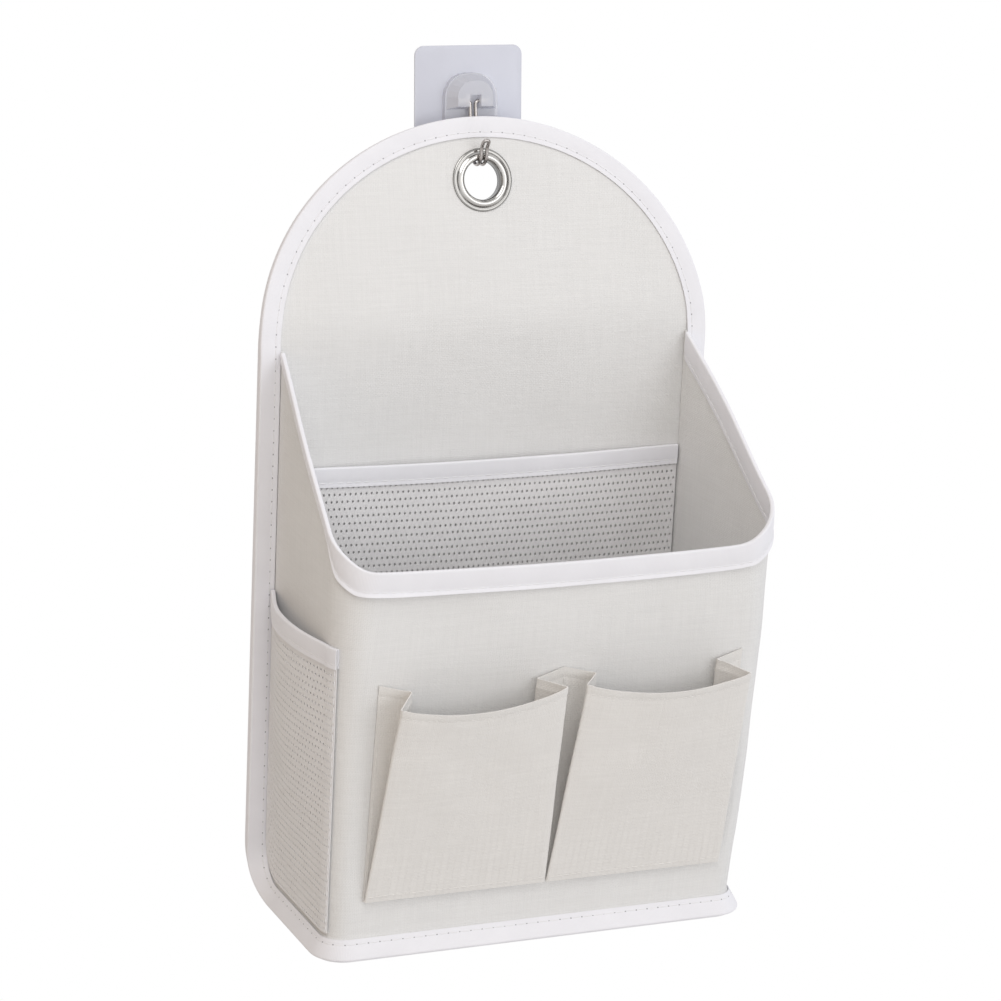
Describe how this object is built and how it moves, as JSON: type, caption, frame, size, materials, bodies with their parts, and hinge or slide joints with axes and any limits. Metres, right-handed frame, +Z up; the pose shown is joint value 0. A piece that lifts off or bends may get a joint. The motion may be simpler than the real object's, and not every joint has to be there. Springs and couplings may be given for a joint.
{
  "type": "hanging door organizer",
  "caption": "Hanging cloth organizer: a leaning open bin with an arched back, net and pleated pockets, and an eyelet on a clear stick-on wire hook.",
  "frame": {"origin": "centre of the adhesive pad's back face, on the wall", "axes": "+Y into the wall, +X to the right as seen from the front, +Z up; the front faces -Y"},
  "size_m": [0.2256, 0.1289, 0.4004],
  "materials": {
    "linen": "off-white linen weave, matte",
    "pocket_linen": "cream linen weave, matte",
    "tape": "white woven edging tape",
    "net": "white knitted net",
    "board": "thin stiffening board",
    "nickel": "bright nickel plate",
    "wire": "bright plated wire",
    "clear_plastic": "clear, polished",
    "adhesive": "clear adhesive film"
  },
  "bodies": {
    "wall_hook": {"adhesive_pad": "adhesive", "hook_plate": "clear_plastic", "hook_boss": "clear_plastic"},
    "wire_hook": {"wire_hook": "wire"},
    "bag": {"panel_face_cloth": "linen", "panel_rear_cloth": "linen", "back_board": "board", "base_board": "board", "wall_cloth": "linen", "seam_binding": "tape", "rim_binding": "tape", "inner_mesh": "net", "inner_mesh_binding": "tape", "left_mesh": "net", "left_mesh_binding": "tape", "right_mesh": "net", "right_mesh_binding": "tape", "front_pocket_strip": "pocket_linen", "eyelet_front": "nickel", "eyelet_washer": "nickel"}
  },
  "joints": [
    {"name": "hook_swing", "type": "hinge", "parent": "wall_hook", "child": "wire_hook", "pos_m": [0, -0.007, 0.0015], "axis": [-1, 0, 0], "range_deg": [0, 40]},
    {"name": "bag_sway", "type": "hinge", "parent": "wire_hook", "child": "bag", "pos_m": [0, -0.01519, -0.0269], "axis": [0, 1, 0], "range_deg": [-10, 10]}
  ]
}
